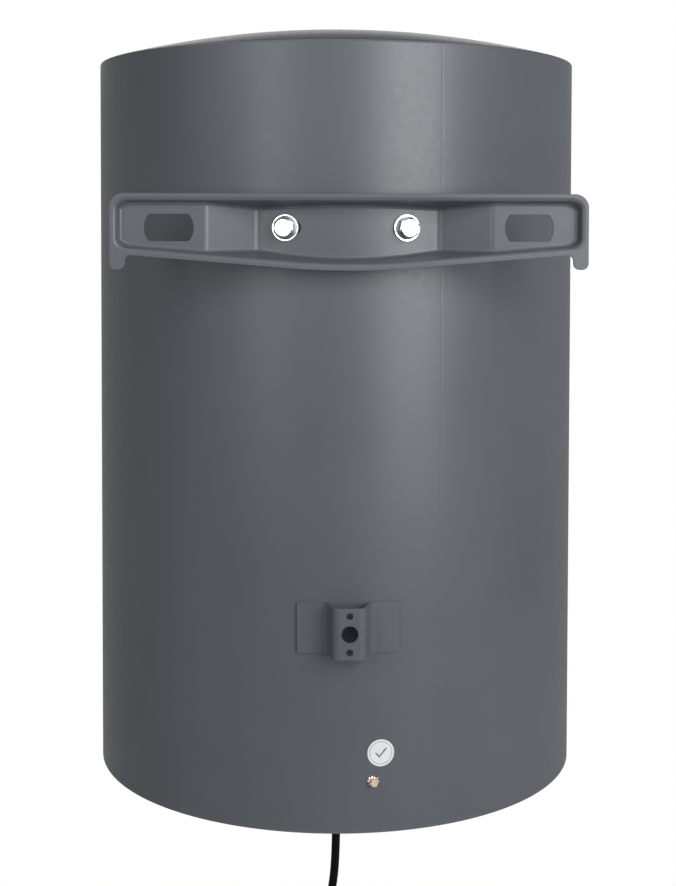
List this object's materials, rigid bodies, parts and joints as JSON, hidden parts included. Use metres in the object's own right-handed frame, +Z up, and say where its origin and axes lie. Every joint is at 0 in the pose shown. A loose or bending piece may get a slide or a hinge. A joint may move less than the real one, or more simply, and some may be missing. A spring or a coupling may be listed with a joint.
{
  "type": "wall-hung tank water heater",
  "caption": "Upright cylindrical electric tank water heater hung on a pressed wall bracket, with spacer bracket, water pipes, temperature knob and plugged supply cord.",
  "frame": {"origin": "midway between the two wall slots of the bracket, on the plane where the bracket's lip meets the wall", "axes": "+Y into the wall, +Z up, the heater's front faces -Y"},
  "size_m": [0.5149, 0.5405, 1.1784],
  "materials": {
    "jacket_coat": "dark grey powder coat on rolled steel, satin",
    "bracket_coat": "dark grey powder coat on pressed steel, satin",
    "zinc_steel": "bright zinc plate",
    "tank_enamel": "vitreous enamel on steel",
    "bare_steel": "plain steel",
    "foam": "rigid polyurethane foam",
    "gasket_rubber": "moulded rubber",
    "element_sheath": "copper-nickel sheath",
    "magnesium": "cast rod",
    "brass": "turned brass",
    "cover_plastic": "moulded, fine texture",
    "control_plastic": "moulded",
    "knob_plastic": "moulded, ribbed",
    "red_plastic": "moulded",
    "blue_plastic": "moulded",
    "lamp_lens": "clear amber moulding",
    "white_plastic": "moulded",
    "sticker_film": "printed film",
    "cord_sheath": "smooth black sheath",
    "tie_strap": "woven strap",
    "pin_nickel": "nickel plate"
  },
  "bodies": {
    "heater": {"jacket": "jacket_coat", "top_cover": "jacket_coat", "bottom_pan": "jacket_coat", "insulation_foam": "foam", "tank_shell": "tank_enamel", "tank_top_head": "tank_enamel", "tank_bottom_head": "tank_enamel", "flange_neck": "bare_steel", "flange_gasket": "gasket_rubber", "flange_plate": "bare_steel", "flange_bolts": "zinc_steel", "heating_element": "element_sheath", "anode_rod": "magnesium", "thermowell": "element_sheath", "cold_inlet_pipe": "bare_steel", "hot_outlet_pipe": "bare_steel", "cold_collar": "blue_plastic", "hot_collar": "red_plastic", "inlet_diffuser": "white_plastic", "wall_bracket": "bracket_coat", "bracket_bolts": "zinc_steel", "bracket_anchors": "bare_steel", "spacer_bracket": "bracket_coat", "earth_screw": "brass", "earth_washer": "zinc_steel", "earth_nut": "brass", "inspection_sticker": "sticker_film", "control_cover": "cover_plastic", "cover_screws": "zinc_steel", "thermostat_body": "control_plastic", "safety_cutout": "control_plastic", "pilot_lamp": "lamp_lens", "terminal_block": "white_plastic", "internal_leads": "cord_sheath", "cord_relief": "control_plastic", "power_cord": "cord_sheath", "cord_coil": "cord_sheath", "cord_tail": "cord_sheath", "cord_tie": "tie_strap", "plug_body": "control_plastic", "plug_earth_clips": "pin_nickel", "plug_pins": "pin_nickel"},
    "temperature_knob": {"thermostat_knob": "knob_plastic", "thermostat_spindle": "bare_steel"},
    "reset": {"reset_button": "red_plastic"}
  },
  "joints": [
    {"name": "knob_turn", "type": "hinge", "parent": "heater", "child": "temperature_knob", "pos_m": [0, -0.311, -0.612], "axis": [0, 0, -1], "range_deg": [-135, 135]},
    {"name": "reset_press", "type": "slide", "parent": "heater", "child": "reset", "axis": [0, 0, 1], "range_m": [0, 0.002], "stiffness_N_per_m": 600}
  ]
}
